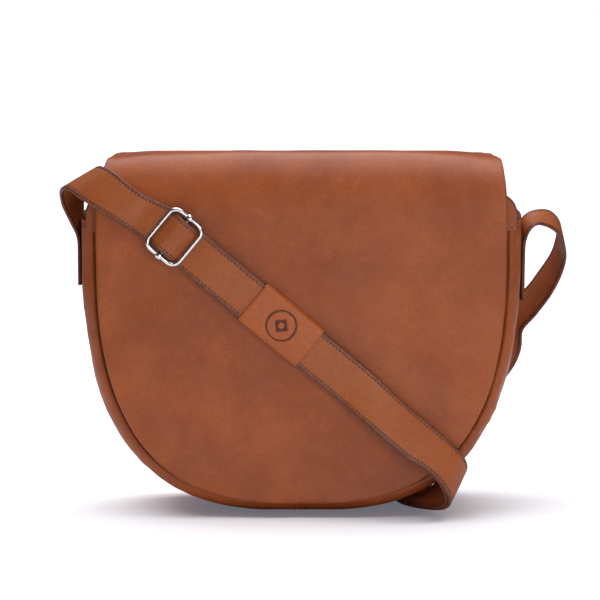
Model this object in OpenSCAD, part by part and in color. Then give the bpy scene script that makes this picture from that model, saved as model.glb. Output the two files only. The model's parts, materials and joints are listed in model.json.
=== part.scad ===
// Half-moon sling bag: a leather body with a full-front flap, a hidden magnetic
// snap, a zipped mouth, and a flat shoulder strap with a wire tri-glide adjuster.
// The strap is shown laid diagonally across the flap and round the lower corner.
// +X is the wearer's left (the right side seen from the front), +Y is the back.
// The origin is the centre of the flat patch that the bag stands on.

/* [Body] */
// Width of the body across the gussets
body_w = 320; // [306:1:334]
// Outside depth of the body, front panel to back panel
body_d = 90; // [84:1:96]
// Height of the back panel's top edge
body_h = 254.5; // [250:0.5:258]
// Height at which the rounded lower outline meets the straight sides
curve_h = 200; // [196:1:204]
// Squareness of the rounded lower outline (2 is an ellipse)
curve_n = 2.8; // [2.6:0.05:2.9]
// Thickness of the body leather
leather_t = 1.8; // [1.6:0.1:2]
// Height of the gussets' turned top hems
hem_h = 213; // [208:1:215]

/* [Flap] */
// Width of the flap
flap_w = 288; // [278:1:294]
// Height of the flap's lower edge above the ground
flap_low = 10; // [8:1:14]
// Depth of the roll where the flap turns down the front
roll_r = 24.7; // [22:0.1:26]
// Height of that roll
roll_h = 42; // [30:1:46]
// Room between the front panel and the flap, for the magnetic snap
snap_gap = 5; // [5:0.1:6]

/* [Strap] */
// Width of the strap
strap_w = 30; // [28:0.5:30]
// Thickness of the two-ply strap
strap_t = 2.4; // [2:0.1:2.4]
// Slope of the strap's front run, in degrees below horizontal
strap_slope = 39.8; // [38:0.1:41]
// Sideways place of the adjuster on the front
adjuster_x = -88.3; // [-92:0.1:-84]
// Height of the adjuster on the front
adjuster_z = 199.9; // [197:0.1:203]

/* [Metalware] */
// Diameter of the adjuster's and ring's wire
wire_d = 3; // [2.6:0.1:3]
// Distance from the adjuster's middle to its end bars
frame_half = 13.5; // [13.4:0.1:14]
// Diameter of the magnetic snap's discs
snap_d = 18; // [16:1:20]
// Spacing of the zip's teeth
zip_pitch = 2.5; // [2.5:0.1:3]

/* [Leather keeper] */
// Length of the keeper sleeve along the strap
keeper_l = 52; // [48:1:54]
// Distance from the adjuster's middle to the keeper's middle
keeper_u = 96.5; // [94:0.5:99]

/* [Hidden] */

$fn = 48;
gap = 0.15;                        // clearance between pieces that only touch
half_w = body_w / 2;
half_d = body_d / 2;
front_in = half_d - leather_t;     // inside face of the front and back panels
flap_face = half_d + snap_gap + 2.7;   // outside face of the flap's front
flap_top = body_h + 2;             // top of the flap leather
roll_y = roll_r - flap_face;       // centre of the flap's front roll
roll_z = flap_top - roll_h;
lining_t = 0.8;
lining_d = front_in - 1.3;         // outside half depth of the lining
facing_low = curve_h + 5;          // where the lining ends and the leather facing starts
panel_z = 232;                     // underside of the zip panels
panel_t = 1.6;
panel_end = half_w - 21;           // where the zip panels start to slope down
front_top = 238;                   // top edge of the front panel, under the flap's roll
shoulder_x = flap_w / 2 - 6;       // where the panels' shoulders start
seam_x = -1;                       // the gussets' butt seam under the bag
seam_gap = 0.2;
snap_z = 48;
tape_t = 0.7;
teeth_x = half_w - 35;             // half length of the rows of teeth
slider_x = teeth_x + 7;
slider_l = 12;
hinge_z = panel_z + 3.6;           // axis of the zip pull
wire_r = wire_d / 2;
frame_v = strap_w / 2 + 0.3 + wire_r;   // adjuster side wires, across the strap
frame_w = 6.8;                     // adjuster's plane above the flap
bar_travel = 1.5;
bar_ply = 1;                       // skived ply sewn round the adjuster's bar
inner_w = strap_w - 3.5;           // strap width where it passes through the adjuster
split_left = -36;                  // ends of the strap's straight front run
split_right = 230;
split_gap = 0.8;                   // room left where the strap is split
flat_w = 5.55;                     // upper layer's middle above the flap, right of the adjuster
under_w = 3.0;                     // lower layer's middle above the flap
anchor_z = 159;                    // lower ends of the strap where it is sewn on
ring_c = [half_w - 42, half_d + 9, 66];
ring_slope = 50;
ring_half = 6;                     // ring's middle to its long bars
layer_off = strap_t / 2 + 0.1;     // layer middles either side of a doubled strap
ring_bend = wire_r + strap_t / 2 + 1.2; // bend of the strap's middle round a ring bar
leather = "#96533b";
leather_dark = "#70402d";
keeper_leather = "#a45a35";
suede = "#b98f66";
nickel = "#c9c9c6";

// ---------- outlines ----------

// Rounded lower outline: a superellipse, cut flat where it stands on the ground
function u_outline(a, h, low, top, n) =
    let (side = [for (i = [0:1:26]) let (t = i * 90 / 26)
        [a * pow(cos(t), 2 / n), low + max(0, h * (1 - pow(sin(t), 2 / n)) - 0.6)]])
    concat([[a, top]], side,
        [for (i = [25:-1:0]) [-side[i][0], side[i][1]]], [[-a, top]]);

// The body's outline, taken in by inset
module body_outline(inset, top) {
    polygon(u_outline(half_w - inset, curve_h - inset, inset, top, curve_n));
}

module flap_outline(inset, top) {
    polygon(u_outline(flap_w / 2 - inset, 185 - inset, flap_low + inset, top, 2.75));
}

// A sheet standing in the XZ plane, filling y0 to y0 + t
module sheet(y0, t) {
    translate([0, y0 + t, 0]) rotate([90, 0, 0]) linear_extrude(t) children();
}

// A YZ profile extruded along X, centred
module along_x(length) {
    rotate([90, 0, 90]) linear_extrude(length, center = true) children();
}

// ---------- strap geometry ----------

function unit(v) = v / norm(v);
function mix(a, b, t) = a + (b - a) * t;
function ease(t) = t * t * (3 - 2 * t);
function ramp(a, b, u, u0, u1) = mix(a, b, ease(max(0, min(1, (u - u0) / (u1 - u0)))));

// A point on the front run: u along the strap, v across it, w out from the flap
function front_point(u, v, w) = [
    adjuster_x + u * cos(strap_slope) + v * sin(strap_slope),
    -flap_face - w,
    adjuster_z - u * sin(strap_slope) + v * cos(strap_slope)];

// A point near the ring: u up along the strap, w out from the back
function back_point(u, w) =
    ring_c + [u * cos(ring_slope), w, u * sin(ring_slope)];

// Height of the upper layer's middle above the flap as it weaves through the adjuster
bar_top = frame_w + wire_r + gap + bar_ply + 0.1 + strap_t / 2;
bar_under = frame_w - wire_r - 0.1 - strap_t / 2;
function weave(u) =
    u < -14 ? ramp(gap + strap_t / 2, bar_under, u, -32, -14)
    : u < 0 ? ramp(bar_under, bar_top, u, -13.2, -3.4)
    : u < 14 ? ramp(bar_top, bar_under, u, 3.4, 13.2)
    : ramp(bar_under, flat_w, u, 14, 34);

// Height of the lower layer's middle above the flap, right of the adjuster
function lower(u) = ramp(gap + strap_t / 2, under_w, u, 15, 34);

// Catmull-Rom curve through p[i-1], p[i], p[i+1], p[i+2]
function pick(p, i) = p[max(0, min(len(p) - 1, i))];
function curve(p, i, t) =
    let (a = pick(p, i - 1), b = pick(p, i), c = pick(p, i + 1), d = pick(p, i + 2))
    0.5 * (2 * b + (c - a) * t + (2 * a - 5 * b + 4 * c - d) * t * t
        + (3 * b - a - 3 * c + d) * t * t * t);

// Corner points of a ribbon's four-sided section at one station
function section(pos, nrm, i, t, w, th) =
    let (c = curve(pos, i, t),
        ahead = unit(curve(pos, i, min(1, t + 0.02)) - curve(pos, i, max(0, t - 0.02))),
        side = unit(cross(ahead, unit(curve(nrm, i, t)))),
        out = cross(side, ahead))
    [c + side * w / 2 + out * th / 2, c + side * w / 2 - out * th / 2,
        c - side * w / 2 - out * th / 2, c - side * w / 2 + out * th / 2];

// A flat ribbon through a route of [point, outward normal] pairs
module ribbon(route, w, th, steps = 6) {
    pos = [for (r = route) r[0]];
    nrm = [for (r = route) r[1]];
    stations = concat(
        [for (i = [0:1:len(route) - 2]) for (k = [0:1:steps - 1]) [i, k / steps]],
        [[len(route) - 2, 1]]);
    points = [for (s = stations) each section(pos, nrm, s[0], s[1], w, th)];
    last = 4 * (len(stations) - 1);
    polyhedron(points, concat(
        [[0, 1, 2], [0, 2, 3], [last, last + 2, last + 1], [last, last + 3, last + 2]],
        [for (s = [0:4:last - 4]) for (k = [0:3]) let (m = (k + 1) % 4)
            [s + k, s + 4 + k, s + m]],
        [for (s = [0:4:last - 4]) for (k = [0:3]) let (m = (k + 1) % 4)
            [s + m, s + 4 + k, s + 4 + m]]));
}

// Local frame of the front run: x along the strap, y across it, z out from the flap
module on_front() {
    translate([adjuster_x, -flap_face, adjuster_z]) rotate([0, strap_slope, 0])
        rotate([90, 0, 0]) children();
}

// A profile in the strap's length and height, extruded across the strap
module across_strap(width) {
    rotate([90, 0, 0]) linear_extrude(width, center = true) children();
}

// A layer that follows a height function's values at each u
module layer_profile(us, mids, th) {
    n = len(us) - 1;
    polygon(concat([for (i = [0:n]) [us[i], mids[i] + th / 2]],
        [for (i = [n:-1:0]) [us[i], mids[i] - th / 2]]));
}

// Closed rounded rectangle of wire, hx by hy from the middle to the wire's centre line
module wire_frame(hx, hy, corner) {
    for (s = [-1, 1]) {
        translate([s * hx, 0, 0]) rotate([90, 0, 0])
            cylinder(r = wire_r, h = 2 * (hy - corner), center = true);
        translate([0, s * hy, 0]) rotate([0, 90, 0])
            cylinder(r = wire_r, h = 2 * (hx - corner), center = true);
    }
    for (a = [0, 1, 2, 3])
        translate([(a == 0 || a == 3 ? 1 : -1) * (hx - corner),
            (a < 2 ? 1 : -1) * (hy - corner), 0])
            rotate([0, 0, 90 * a]) rotate_extrude(angle = 90)
                translate([corner, 0]) circle(r = wire_r);
}

// ---------- body shell ----------

// A panel whose middle rises to top under the flap, with shoulders down to the hems
module panel(y0, top) {
    sheet(y0, leather_t) {
        body_outline(leather_t, hem_h);
        polygon([[-half_w + leather_t, hem_h - 1], [-half_w + leather_t, hem_h],
            [-shoulder_x, top], [shoulder_x, top],
            [half_w - leather_t, hem_h], [half_w - leather_t, hem_h - 1]]);
    }
}

module front_panel() {
    color(leather_dark) panel(-half_d, front_top);
}

module back_panel() {
    color(leather) panel(front_in, body_h - 0.1);
}

// One half of the gusset strip that runs round the sides and under the bag
module gusset(x0, x1) {
    sheet(-front_in + gap, 2 * (front_in - gap)) intersection() {
        difference() {
            body_outline(0, hem_h);
            body_outline(leather_t, hem_h + 1);
        }
        translate([x0, -1]) square([x1 - x0, hem_h + 2]);
    }
}

module gusset_left() {
    color(leather) gusset(-half_w - 1, seam_x - seam_gap);
}

module gusset_right() {
    color(leather) gusset(seam_x, half_w + 1);
}

// Board that keeps a panel flat
module stiffener(y0) {
    sheet(y0, 1) body_outline(leather_t + 4, facing_low - 2);
}

module front_stiffener() {
    color("#8d8577") stiffener(-front_in + 0.1);
}

module back_stiffener() {
    color("#8d8577") stiffener(front_in - 1.1);
}

// The cloth bag inside: two side sheets and a strip round the outline, open on top
module lining() {
    color(suede) difference() {
        sheet(-lining_d, 2 * lining_d) body_outline(leather_t + gap, facing_low - 1);
        sheet(-lining_d + lining_t, 2 * (lining_d - lining_t))
            body_outline(leather_t + gap + lining_t, facing_low);
    }
}

// Slip pocket sewn to the lining's back
module inner_pocket() {
    color(suede) sheet(lining_d - lining_t - 1, 0.8)
        translate([-65, 80]) square([130, 100]);
}

// Leather strip inside the mouth, above the lining
module facing(y0) {
    translate([-panel_end + 3, y0, facing_low])
        cube([2 * panel_end - 6, 1.2, panel_z - facing_low - 0.2]);
}

module front_facing() {
    color(leather) facing(-front_in + 0.1);
}

module back_facing() {
    color(leather) facing(front_in - 1.3);
}

// ---------- zip closure ----------

// Leather strip beside the zip, with ends that slope down towards the gussets
module zip_panel(y0) {
    low = panel_z - 16;
    sheet(y0, front_in - 8.2) polygon([
        [-panel_end - 15, low], [-panel_end, panel_z], [panel_end, panel_z],
        [panel_end + 15, low], [panel_end + 15 + 2, low + 1],
        [panel_end + 1, panel_z + panel_t], [-panel_end - 1, panel_z + panel_t],
        [-panel_end - 15 - 2, low + 1]]);
}

module zip_panel_front() {
    color(leather) zip_panel(-front_in + 0.1);
}

module zip_panel_back() {
    color(leather) zip_panel(8.1);
}

module zip_tapes() {
    color("#3c2a20") for (s = [-1, 1])
        translate([0, s * 8.1, panel_z - 0.1 - tape_t / 2])
            cube([2 * panel_end - 2, 10, tape_t], center = true);
}

// One row of teeth on its cord, pointing towards +Y
module teeth_row(offset_x) {
    count = floor((2 * teeth_x - 4) / zip_pitch);
    tooth = zip_pitch / 2 - 0.16;
    first = -teeth_x + 1 + offset_x;
    translate([0, 0, panel_z - 1.6]) linear_extrude(2.4) polygon(concat(
        [[teeth_x, -0.8], [teeth_x, -2.9], [-teeth_x, -2.9], [-teeth_x, -0.8]],
        [for (i = [0:1:count - 1]) let (x = first + i * zip_pitch) each
            [[x, -0.8], [x, 0.7], [x + tooth, 0.7], [x + tooth, -0.8]]]));
}

module zip_teeth_front() {
    color("#b08d57") teeth_row(0);
}

module zip_teeth_back() {
    color("#b08d57") mirror([0, 1, 0]) teeth_row(zip_pitch / 2);
}

// Metal crimps at both ends of the teeth
module zip_stops() {
    color("#b08d57") {
        translate([-teeth_x - 2.2, 0, panel_z - 0.4]) cube([3, 5.6, 2.4], center = true);
        for (s = [-1, 1])
            translate([slider_x + slider_l / 2 + 2, s * 2, panel_z - 0.4])
                cube([2.4, 1.8, 2.4], center = true);
    }
}

// Two plates joined by a wedge, with ears and a pin for the pull
module zip_slider() {
    color(nickel) translate([slider_x, 0, 0]) {
        for (z = [panel_z - 2.7, panel_z + 1])
            translate([-slider_l / 2, -4.5, z]) cube([slider_l, 9, 0.9]);
        translate([slider_l / 2 - 3, -1, panel_z - 2]) cube([3, 2, 3.2]);
        for (s = [-1, 1]) {
            translate([-2, s * 3 - 0.5, panel_z + 1.5]) cube([4, 1, 1.8]);
            translate([0, s * 3, hinge_z]) rotate([90, 0, 0])
                cylinder(r = 2, h = 1, center = true);
        }
        translate([0, 0, hinge_z]) rotate([90, 0, 0])
            cylinder(r = 0.9, h = 6, center = true);
    }
}

// Pull that swings over the slider's pin
module zip_pull() {
    color(nickel) translate([slider_x, 0, hinge_z]) difference() {
        union() {
            rotate([90, 0, 0]) cylinder(r = 1.6, h = 4.6, center = true);
            translate([-9, -2.3, -0.6]) cube([8, 4.6, 1.2]);
            translate([-11, 0, -0.6]) cylinder(r = 4, h = 1.2);
        }
        rotate([90, 0, 0]) cylinder(r = 0.98, h = 6, center = true);
        translate([-11, 0, -2]) cylinder(r = 1.8, h = 4);
    }
}

// ---------- magnetic snap ----------

// A disc whose axis is along Y, filling y0 to y0 + t
module disc(y0, t, r) {
    translate([0, y0 + t, snap_z]) rotate([90, 0, 0]) cylinder(r = r, h = t);
}

module magnet_socket() {
    color(nickel) difference() {
        disc(-half_d - 2.5, 2.4, snap_d / 2);
        disc(-half_d - 3, 2, 4.2);
    }
}

// Backing washer behind the front panel
module magnet_socket_washer() {
    color(nickel) disc(-front_in + 1.15, 0.15, snap_d / 2 - 1);
}

module magnet_stud() {
    color(nickel) {
        disc(-half_d - snap_gap + 0.1, snap_gap - 2.7, snap_d / 2);
        disc(-half_d - 2.7, 1.5, 3);
    }
}

// Backing washer between the flap's lining and leather
module magnet_stud_washer() {
    color(nickel) disc(-half_d - snap_gap - 0.88, 0.06, snap_d / 2 - 1);
}

// ---------- flap ----------

// Section of the flap's roll, taken in by inset
module roll_section(inset) {
    translate([roll_y, roll_z]) scale([roll_r - inset, roll_h - inset]) circle(r = 1, $fn = 96);
}

// Section of a sheet that lies on top, rolls over and hangs down the front
module flap_section(inset, t, back, low) {
    difference() {
        union() {
            roll_section(inset);
            translate([roll_y, flap_top - inset - t]) square([back - roll_y, t]);
            translate([-flap_face + inset, low]) square([t, roll_z - low]);
        }
        roll_section(inset + t);
        translate([roll_y, low]) square([200, flap_top - inset - t - low]);
        translate([-flap_face + inset + t, low - 1]) square([100, roll_z - low + 1]);
    }
}

module flap_leather() {
    color(leather) intersection() {
        along_x(body_w) flap_section(0, leather_t, half_d, 0);
        sheet(-body_d, 2 * body_d) flap_outline(0, flap_top + 5);
    }
}

module flap_lining() {
    color(suede) intersection() {
        along_x(body_w) flap_section(leather_t + 0.1, lining_t, front_in - 0.3, 0);
        sheet(-body_d, 2 * body_d) flap_outline(3, flap_top + 5);
    }
}

// The flap's rear edge, sewn flat to the back panel
module flap_band() {
    color(leather) sheet(half_d + gap, leather_t)
        translate([-flap_w / 2, body_h - 24]) square([flap_w, 26]);
}

// ---------- strap ----------

// From the left gusset up, over the corner and on to the flap
module strap_left_loop() {
    side = -half_w - gap - strap_t / 2;
    low = 2 * gap + strap_t / 2 + 0.1;
    color(leather) ribbon([
        [[side, 0, anchor_z], [-1, 0, 0]],
        [[side, 0, anchor_z + 21], [-1, 0, 0]],
        [[side - 0.9, -2, 200], [-1, -0.05, 0.02]],
        [[side - 3.8, -9, 213], [-1, -0.2, -0.05]],
        [[side - 6, -23.5, 226], [-0.92, -0.2, 0.33]],
        [[side + 2.4, -43.5, 238], [-0.55, -0.3, 0.8]],
        [[side + 15.3, -53.7, 236.5], [-0.22, -0.88, 0.42]],
        [[side + 29, -flap_face - 2.7, 231], [-0.08, -0.97, 0.22]],
        [front_point(split_left - 6, 0, low), [0, -1, 0]],
        [front_point(split_left - split_gap, 0, low), [0, -1, 0]]], strap_w, strap_t);
}

// The upper layer of the front run, woven through the adjuster
module strap_top_run() {
    us = concat([split_left], [for (u = [-32:1:34]) u], [split_right]);
    mids = [for (u = us) weave(u)];
    color(leather) on_front() difference() {
        across_strap(strap_w) layer_profile(us, mids, strap_t);
        for (s = [-1, 1])
            translate([0, s * (inner_w / 2 + 5), bar_top])
                cube([26, 10, 30], center = true);
    }
}

// The lower layer: its end is skived and sewn round the adjuster's bar
module strap_under_run() {
    us = concat([for (u = [15:1:34]) u], [split_right]);
    slot = wire_r + 0.1;
    color(leather) on_front() {
        across_strap(strap_w) layer_profile(us, [for (u = us) lower(u)],
            strap_t);
        across_strap(inner_w - 1) difference() {
            union() {
                translate([-bar_travel, frame_w]) circle(r = slot + bar_ply);
                translate([-bar_travel, frame_w - slot - bar_ply])
                    square([2 * bar_travel, 2 * (slot + bar_ply)]);
                polygon(concat(
                    [for (u = [bar_travel:0.5:15]) [u, weave(u) - strap_t / 2 - 0.1]],
                    [for (u = [15:-0.5:bar_travel])
                        [u, ramp(frame_w - slot - bar_ply, gap, u, bar_travel, 11)]]));
            }
            translate([-bar_travel, frame_w]) circle(r = slot);
            translate([-bar_travel, frame_w - slot]) square([2 * bar_travel, 2 * slot]);
            polygon(concat(
                [for (u = [bar_travel:0.5:12])
                    [u, weave(u) - strap_t / 2 - 0.1 - bar_ply]],
                [for (u = [12:-0.5:bar_travel])
                    [u, ramp(frame_w - slot - bar_ply, gap, u, bar_travel, 11) + bar_ply]]));
        }
    }
}

// Both layers from the front run round the corner, under the bag and up to the ring
module strap_return_run() {
    mid = (flat_w + under_w) / 2;
    bar = back_point(-ring_half, 0);
    up = [cos(ring_slope), 0, sin(ring_slope)];
    route = [
        [front_point(split_right + split_gap, 0, mid), [0, -1, 0]],
        [front_point(split_right + 6, 0, mid), [0, -1, 0]],
        [front_point(split_right + 18, 0, mid + 1), [0.1, -1, 0]],
        [[half_w - 41, -half_d - 1, 20], [0.8, -0.6, -0.1]],
        [[half_w - 51, -18, 9.5], [0.25, 0.35, -0.9]],
        [[half_w - 62, 15, 5.4], [0.1, 0.05, -1]],
        [[half_w - 65, half_d - 1, 4.6], [0, 0.2, -1]],
        [[half_w - 70, half_d + 9, 19], [0, 1, -0.3]],
        [back_point(-30, 0), [0, 1, 0]],
        [back_point(-18, 0), [0, 1, 0]]];
    n = len(route) - 1;
    color(leather) ribbon(concat(
        [for (r = route) [r[0] + layer_off * unit(r[1]), r[1]]],
        [[bar + [0, ring_bend, 0], [0, 1, 0]], [bar + ring_bend * up, up],
            [bar - [0, ring_bend, 0], [0, -1, 0]]],
        [for (i = [n:-1:0])
            [route[i][0] - layer_off * unit(route[i][1]), -route[i][1]]]),
        strap_w, strap_t);
}

// From the ring behind the bag, out round the side and down to the right gusset
module strap_short() {
    side = half_w + gap + strap_t / 2;
    bar = back_point(ring_half, 0);
    up = [cos(ring_slope), 0, sin(ring_slope)];
    color(leather) ribbon([
        [[side, 0, anchor_z - 8], [-1, 0, 0]],
        [[side, 0, anchor_z + 17], [-1, 0, 0]],
        [[side + 0.6, 0, 194], [-0.99, -0.02, 0.13]],
        [[side + 4, 0.2, 205], [-0.7, -0.17, 0.69]],
        [[side + 11.9, 3.5, 208.4], [0.12, -0.27, 0.96]],
        [[side + 23, 9.8, 205.2], [0.67, -0.3, 0.68]],
        [[side + 29, 15.8, 196.4], [0.96, -0.13, 0.26]],
        [[side + 29.8, 22, 187], [0.99, 0.12, -0.02]],
        [[side + 27.3, 27.5, 174.4], [0.94, 0.26, -0.23]],
        [[side + 20.2, 33.5, 159.7], [0.86, 0.39, -0.31]],
        [[side + 10.8, 40.5, 144.8], [0.81, 0.45, -0.38]],
        [[side - 2.6, half_d + 4, 128.5], [0.72, 0.64, -0.28]],
        [back_point(45, layer_off), [0, 1, 0]],
        [back_point(20, layer_off), [0, 1, 0]],
        [bar + [0, ring_bend, 0], [0, 1, 0]],
        [bar - ring_bend * up, -up],
        [bar - [0, ring_bend, 0], [0, -1, 0]],
        [back_point(20, -layer_off), [0, -1, 0]],
        [back_point(40, -layer_off), [0, -1, 0]]], strap_w, strap_t);
}

module strap_ring() {
    color(nickel) translate(ring_c) rotate([0, -ring_slope, 0]) rotate([90, 0, 0])
        wire_frame(ring_half, frame_v, 4);
}

// ---------- adjuster and keeper ----------

module adjuster_frame() {
    color(nickel) on_front() translate([0, 0, frame_w])
        wire_frame(frame_half, frame_v, 6);
}

// Sliding centre bar, with an eye at each end round the frame's side wires
module adjuster_bar() {
    color(nickel) on_front() translate([0, 0, frame_w]) difference() {
        union() {
            rotate([90, 0, 0]) cylinder(r = wire_r, h = 2 * frame_v - 4, center = true);
            for (s = [-1, 1])
                translate([0, s * frame_v, 0]) rotate([0, 90, 0])
                    cylinder(r = wire_r + 1.35, h = 5, center = true);
        }
        for (s = [-1, 1])
            translate([0, s * frame_v, 0]) rotate([0, 90, 0])
                cylinder(r = wire_r + 0.08, h = 8, center = true);
    }
}

// Leather sleeve that holds the two layers together
module strap_keeper() {
    inner = strap_w + 0.6;
    low = under_w - strap_t / 2 - gap;
    high = flat_w + strap_t / 2 + gap;
    color(keeper_leather) on_front() translate([keeper_u, 0, 0]) rotate([90, 0, 90])
        linear_extrude(keeper_l, center = true) difference() {
            translate([-inner / 2 - 1.2, gap])
                square([inner + 2.4, high - gap + 1.4]);
            translate([-inner / 2, low]) square([inner, high - low]);
        }
}

// ---------- assembly ----------

front_panel();
back_panel();
gusset_left();
gusset_right();
front_stiffener();
back_stiffener();
lining();
inner_pocket();
front_facing();
back_facing();
zip_panel_front();
zip_panel_back();
zip_tapes();
zip_teeth_front();
zip_teeth_back();
zip_stops();
magnet_socket();
magnet_socket_washer();
flap_band();
strap_left_loop();
strap_return_run();
strap_short();
strap_ring();
flap_leather();
flap_lining();
magnet_stud();
magnet_stud_washer();
strap_top_run();
strap_under_run();
adjuster_frame();
adjuster_bar();
strap_keeper();
zip_slider();
zip_pull();
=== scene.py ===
"""Half-moon sling bag: leather, stitching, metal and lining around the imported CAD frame.

Shapes are worked out in millimetres and turned into metres when a mesh is made.
"""
import json
import math

import bmesh
import bpy
import numpy as np
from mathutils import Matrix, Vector, noise


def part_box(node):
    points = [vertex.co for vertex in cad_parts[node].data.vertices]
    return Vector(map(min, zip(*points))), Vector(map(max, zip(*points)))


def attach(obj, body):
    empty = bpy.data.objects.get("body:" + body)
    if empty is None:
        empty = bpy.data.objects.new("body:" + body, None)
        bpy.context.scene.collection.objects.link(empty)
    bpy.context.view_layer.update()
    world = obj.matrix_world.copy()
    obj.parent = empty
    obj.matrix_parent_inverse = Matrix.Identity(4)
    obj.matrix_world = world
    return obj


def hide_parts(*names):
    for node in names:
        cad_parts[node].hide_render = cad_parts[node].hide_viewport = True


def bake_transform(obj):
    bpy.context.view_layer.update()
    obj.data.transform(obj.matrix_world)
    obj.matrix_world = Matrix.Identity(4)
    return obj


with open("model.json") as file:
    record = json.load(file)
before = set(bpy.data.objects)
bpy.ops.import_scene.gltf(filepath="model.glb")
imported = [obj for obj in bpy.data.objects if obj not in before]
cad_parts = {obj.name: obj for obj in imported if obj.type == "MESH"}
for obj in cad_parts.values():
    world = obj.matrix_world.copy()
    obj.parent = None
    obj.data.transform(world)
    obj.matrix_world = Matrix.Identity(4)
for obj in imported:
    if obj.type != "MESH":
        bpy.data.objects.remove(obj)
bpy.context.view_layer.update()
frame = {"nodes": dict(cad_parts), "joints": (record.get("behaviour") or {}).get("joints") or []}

MM = 0.001


def node_box(node):
    """Lowest and highest corner of a CAD node, in millimetres."""
    low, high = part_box(node)
    return np.array(low) / MM, np.array(high) / MM


# ---------- sizes from the frame ----------

HALF_W = node_box("gusset_right")[1][0]
HALF_D = node_box("back_panel")[1][1]
HEM_Z = node_box("gusset_right")[1][2]
FLAP_LOW, FLAP_HIGH = node_box("flap_leather")
FLAP_HALF = FLAP_HIGH[0]
FLAP_TOP = FLAP_HIGH[2]
FLAP_FACE = FLAP_LOW[1]
BAND_LOW = node_box("flap_band")[0][2]
PANEL_TOP = node_box("front_panel")[1][2]
BACK_TOP = node_box("back_panel")[1][2]
ZIP_Z = node_box("zip_tapes")[1][2]
KEEPER_AXIS = next(j["axis"] for j in frame["joints"] if j["name"] == "keeper_slide")
ADJUSTER = sum(node_box("adjuster_frame")) / 2
KEEPER = sum(node_box("strap_keeper")) / 2
RING = sum(node_box("strap_ring")) / 2

# ---------- named shapes ----------

SIDE_SLACK = 2.2            # the gussets' leather lies this far inside the frame's sides
OUTLINE_H = 200.0           # height of the body's rounded outline
OUTLINE_N = 2.8             # its squareness
FLAT_CUT = 0.6              # how much the ground flattens it
FLAP_H = 185.0              # the same for the flap
FLAP_N = 2.75
ROLL_R = 24.7               # depth of the roll at the top of the flap's front
ROLL_H = 42.0               # and its height
EDGE_R = 4.0                # bend at the flap's rear edge
ROLL_Y = FLAP_FACE + ROLL_R
ROLL_Z = FLAP_TOP - ROLL_H
STRAP_W = 30.0
STRAP_T = 2.4
STITCH_INSET = 2.7
WIRE_R = 1.5
FRAME_HALF = 13.5           # adjuster's middle to its end bars
FRAME_V = STRAP_W / 2 + 0.3 + WIRE_R
FRAME_W = FLAP_FACE - ADJUSTER[1]     # adjuster's plane above the flap
UPPER_W = 5.55              # strap layers' middles above the flap, right of the adjuster
UNDER_W = 3.0
LAYER_OFF = STRAP_T / 2 + 0.1
REST_GAP = 0.15
JOIN_LEFT = -13.5           # the strap's pieces meet under the adjuster's left bar
JOIN_RIGHT = 205.0          # and near the fold at the lower right
TILT = math.radians(24)     # how far the strap leans out where it nears the fold


# ---------- small maths ----------

def unit(v):
    v = np.asarray(v, float)
    return v / np.maximum(np.linalg.norm(v, axis=-1, keepdims=True), 1e-9)


def ease(x):
    x = np.clip(x, 0, 1)
    return x * x * (3 - 2 * x)


def step(x, a, b):
    """0 before a, 1 after b, smooth between."""
    return ease((np.asarray(x, float) - a) / (b - a))


def mix(a, b, t):
    return a + (b - a) * t


def rough(points, size, seed=0.0):
    """Smooth noise of about -1 to 1 at each point; size is the feature size, one number or one per axis."""
    q = np.asarray(points, float).reshape(-1, 3) / np.asarray(size, float) + seed
    values = [noise.fractal(Vector(p), 0.9, 2.0, 2) for p in q]
    return np.array(values).reshape(np.asarray(points).shape[:-1])


def lengths(path):
    """Length along a polyline at each of its points."""
    return np.concatenate([[0], np.cumsum(np.linalg.norm(np.diff(path, axis=0), axis=1))])


def sample(values, length, at):
    """Rows of numbers that belong to the lengths, read off at other lengths."""
    return np.stack([np.interp(at, length, column) for column in np.asarray(values, float).T], 1)


def resample(path, count):
    """A polyline with count points spaced evenly along it."""
    length = lengths(path)
    return sample(path, length, np.linspace(0, length[-1], count))


def outward(line):
    """Directions square to a 2D line, on its right as it is travelled."""
    ahead = unit(np.gradient(line, axis=0))
    return np.stack([ahead[:, 1], -ahead[:, 0]], 1)


def arc(first, last, count):
    """Angles in radians, spaced evenly between two in degrees."""
    return np.radians(np.linspace(first, last, count))


# ---------- outlines ----------

def u_curve(a, h, n, low, top, cut):
    """Rounded U from the left top corner, round the bottom, to the right top corner, as x, z points."""
    t = arc(0, 90, 240)
    x = a * np.cos(t) ** (2 / n)
    z = low + np.maximum(0, h * (1 - np.sin(t) ** (2 / n)) - cut)
    right = np.stack([x, z], 1)[z < top - 0.5]
    half = min(a, right[0, 0])
    return np.concatenate([[[-half, top]], right * [-1, 1], right[::-1], [[half, top]]])


def fill_u(curve, top_line, cols, rows, share=0.36):
    """Even grid inside a U outline: rows go from the top line to the bottom, columns from left to right."""
    dense = resample(curve, 2001)
    corner = int(share * 2000)
    left = resample(dense[:corner + 1], rows)
    bottom = resample(dense[corner:2001 - corner], cols)
    right = resample(dense[2000 - corner:], rows)[::-1]
    top = resample(top_line, cols)
    q = np.linspace(0, 1, rows)[:, None, None]
    p = np.linspace(0, 1, cols)[None, :, None]
    grid = ((1 - q) * top[None] + q * bottom[None] + (1 - p) * left[:, None] + p * right[:, None]
            - (1 - q) * (1 - p) * top[0] - (1 - q) * p * top[-1]
            - q * (1 - p) * bottom[0] - q * p * bottom[-1])
    for _ in range(60):
        grid[1:-1, 1:-1] = (grid[:-2, 1:-1] + grid[2:, 1:-1] + grid[1:-1, :-2] + grid[1:-1, 2:]) / 4
    return grid


# ---------- meshes ----------

def register(piece, slot, body, *nodes):
    """Hides the CAD nodes a piece replaces and hangs it on its body, if one is given (None where it bends);
    slot is not used.
    """
    if nodes:
        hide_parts(*nodes)
    if body:
        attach(piece, body)
    return piece


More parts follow.
